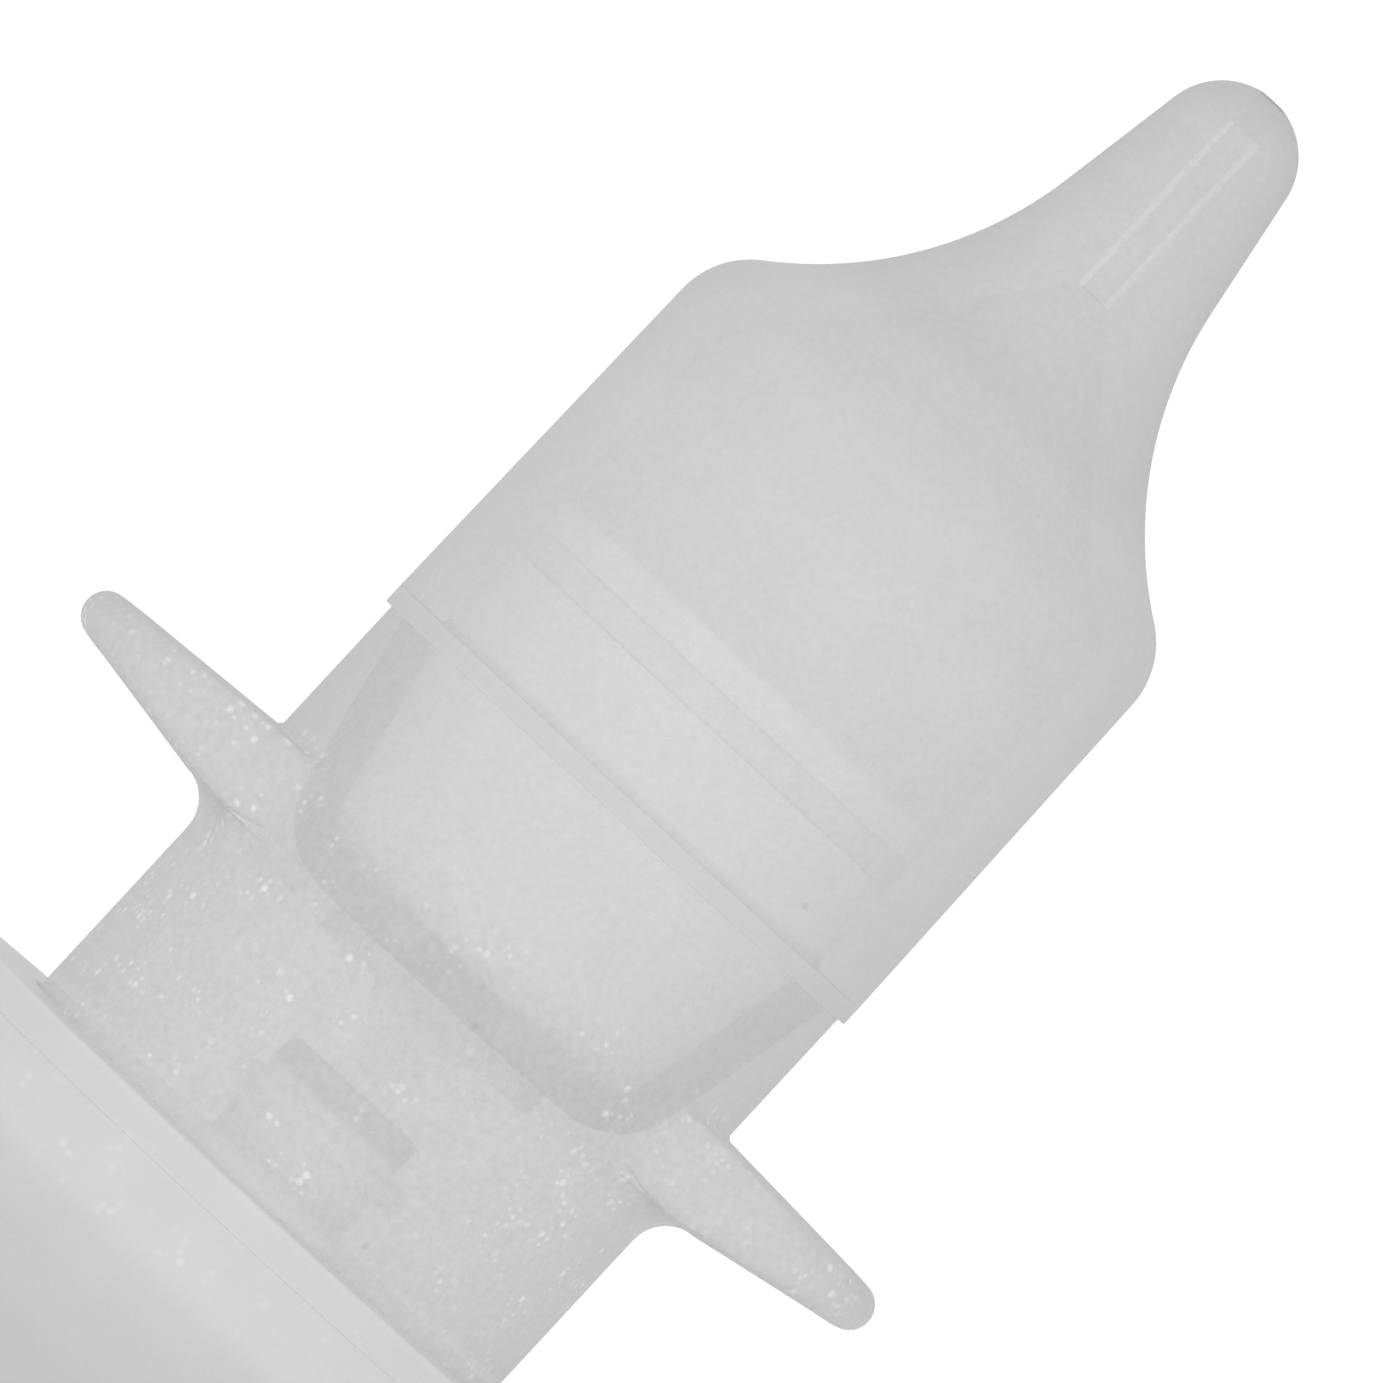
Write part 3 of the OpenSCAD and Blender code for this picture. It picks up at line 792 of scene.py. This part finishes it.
def hub_pieces():
    """The hub, its front ring, the washer and the socket's seals."""
    # Tones along the hub and its front ring: painted light, darker low on the hub, lighter towards the
    # front face, and lightest on the face's rounded edge.
    hub_tones_with_painted_light = {0: 0.56, 8: 0.56, 10: 0.59, 11: 0.61, 11.9: 0.67, 13.8: 0.66, 13.98: 0.72}
    hub_flecks = {0: 0.0, 11: 0.0, 12: 0.12, 13: 0.08, 14: 0.0}
    plastic = moulded("hub_plastic", hub_tones_with_painted_light, flecks_at=hub_flecks)
    stand_for(hub(), "hub", "hub_plastic", plastic)
    stand_for(front_ring(), "front_ring", "hub_plastic", plastic)
    stand_for(thrust_washer(), "thrust_washer", "washer_plastic",
              moulded("washer_plastic", {8: 0.8, 11: 0.8}, roughness=0.25))
    dark = rubber("dark_seal", 0.02)
    for node in ("socket_seal_upper", "socket_seal_lower"):
        stand_for(o_ring(node + "_ring", node), node, "dark_seal", dark)


# ---------- studio ----------

# The camera sees VIEW_WIDTH across and aims at VIEW_CENTRE, an (x, z) on the tip's middle plane.
# The tip's axis rises VIEW_LEAN above the picture's lower edge.
VIEW_WIDTH = 29.57
VIEW_LEAN = 47.2
VIEW_CENTRE = (-0.556, 28.04)
LENS = 500
SENSOR = 36
CLIP_START = 10
CLIP_END = 20000

KEY_WAY = (-0.1, -1, 0.1)
KEY_DISTANCE = 400
KEY_SIZE = 350
KEY_POWER = 0.44
KEY_AIM_Z = 25

DOME_TONE = 0.76
BACKDROP_STRENGTH = 1.05

# The floor's own glow grows from GLOW_LOW to GLOW_HIGH between two shares of its radius
FLOOR_R = 120
FLOOR_STEPS = 128
FLOOR_TONE = 0.93
FLOOR_ROUGHNESS = 0.9
GLOW_START = 0.25
GLOW_END = 0.95
GLOW_LOW = 0.06
GLOW_HIGH = 0.35


def camera():
    """Square to the axis, which leans up to the right in the picture."""
    data = bpy.data.cameras.new("camera")
    data.lens = LENS
    data.sensor_width = SENSOR
    data.clip_start = CLIP_START * MM
    data.clip_end = CLIP_END * MM
    distance = VIEW_WIDTH * LENS / SENSOR
    lean = math.radians(90 - VIEW_LEAN)
    right = Vector((math.cos(lean), 0, math.sin(lean)))
    up = Vector((-math.sin(lean), 0, math.cos(lean)))
    back = right.cross(up)
    place = Matrix((right, up, back)).transposed().to_4x4()
    place.translation = Vector((VIEW_CENTRE[0], -distance, VIEW_CENTRE[1])) * MM
    piece = bpy.data.objects.new("camera", data)
    piece.matrix_world = place
    bpy.context.scene.collection.objects.link(piece)
    bpy.context.scene.camera = piece


def key_light():
    """A large round light that faces the tip's middle and isn't seen itself."""
    data = bpy.data.lights.new("key", "AREA")
    data.shape = "DISK"
    data.size = KEY_SIZE * MM
    data.energy = KEY_POWER
    lamp = bpy.data.objects.new("key", data)
    aim = Vector(KEY_WAY).normalized()
    lamp.location = Vector((0, 0, KEY_AIM_Z * MM)) + aim * KEY_DISTANCE * MM
    lamp.rotation_euler = aim.to_track_quat("Z", "Y").to_euler()
    lamp.visible_camera = False
    lamp.visible_glossy = False
    bpy.context.scene.collection.objects.link(lamp)


def surroundings():
    """White backdrop for the camera and an even grey dome for the light."""
    world = bpy.data.worlds.new("studio")
    world.use_nodes = True
    nodes = world.node_tree.nodes
    links = world.node_tree.links
    dome = nodes["Background"]
    dome.inputs["Color"].default_value = (DOME_TONE, DOME_TONE, DOME_TONE, 1)
    backdrop = nodes.new("ShaderNodeBackground")
    backdrop.inputs["Color"].default_value = WHITE
    backdrop.inputs["Strength"].default_value = BACKDROP_STRENGTH
    path = nodes.new("ShaderNodeLightPath")
    mix = nodes.new("ShaderNodeMixShader")
    links.new(path.outputs["Is Camera Ray"], mix.inputs[0])
    links.new(dome.outputs[0], mix.inputs[1])
    links.new(backdrop.outputs[0], mix.inputs[2])
    links.new(mix.outputs[0], nodes["World Output"].inputs["Surface"])
    bpy.context.scene.world = world
    bpy.context.scene.view_settings.view_transform = "Standard"


def floor():
    """A pale round floor that brightens to the backdrop's white at its rim."""
    mesh = bpy.data.meshes.new("floor")
    disc = bmesh.new()
    bmesh.ops.create_circle(disc, cap_ends=True, segments=FLOOR_STEPS, radius=FLOOR_R * MM)
    disc.to_mesh(mesh)
    disc.free()
    piece = bpy.data.objects.new("floor", mesh)
    bpy.context.scene.collection.objects.link(piece)
    f = Finish("floor_paper")
    f.colour(f.add(f.level(FLOOR_TONE), f.times(f.noise(size=4.0), 0.01)))
    distance = f.nodes.new("ShaderNodeVectorMath")
    distance.operation = "LENGTH"
    f.links.new(f.place, distance.inputs[0])
    glow = f.nodes.new("ShaderNodeMapRange")
    glow.interpolation_type = "SMOOTHSTEP"
    glow.inputs["From Min"].default_value = FLOOR_R * GLOW_START
    glow.inputs["From Max"].default_value = FLOOR_R * GLOW_END
    glow.inputs["To Min"].default_value = GLOW_LOW
    glow.inputs["To Max"].default_value = GLOW_HIGH
    f.links.new(distance.outputs["Value"], glow.inputs["Value"])
    f.links.new(glow.outputs[0], f.shader.inputs["Emission Strength"])
    f.plain(Roughness=FLOOR_ROUGHNESS, Emission_Color=WHITE)
    mesh.materials.append(f.material)


soft_pieces()
inner_pieces()
hub_pieces()
camera()
surroundings()
key_light()
floor()
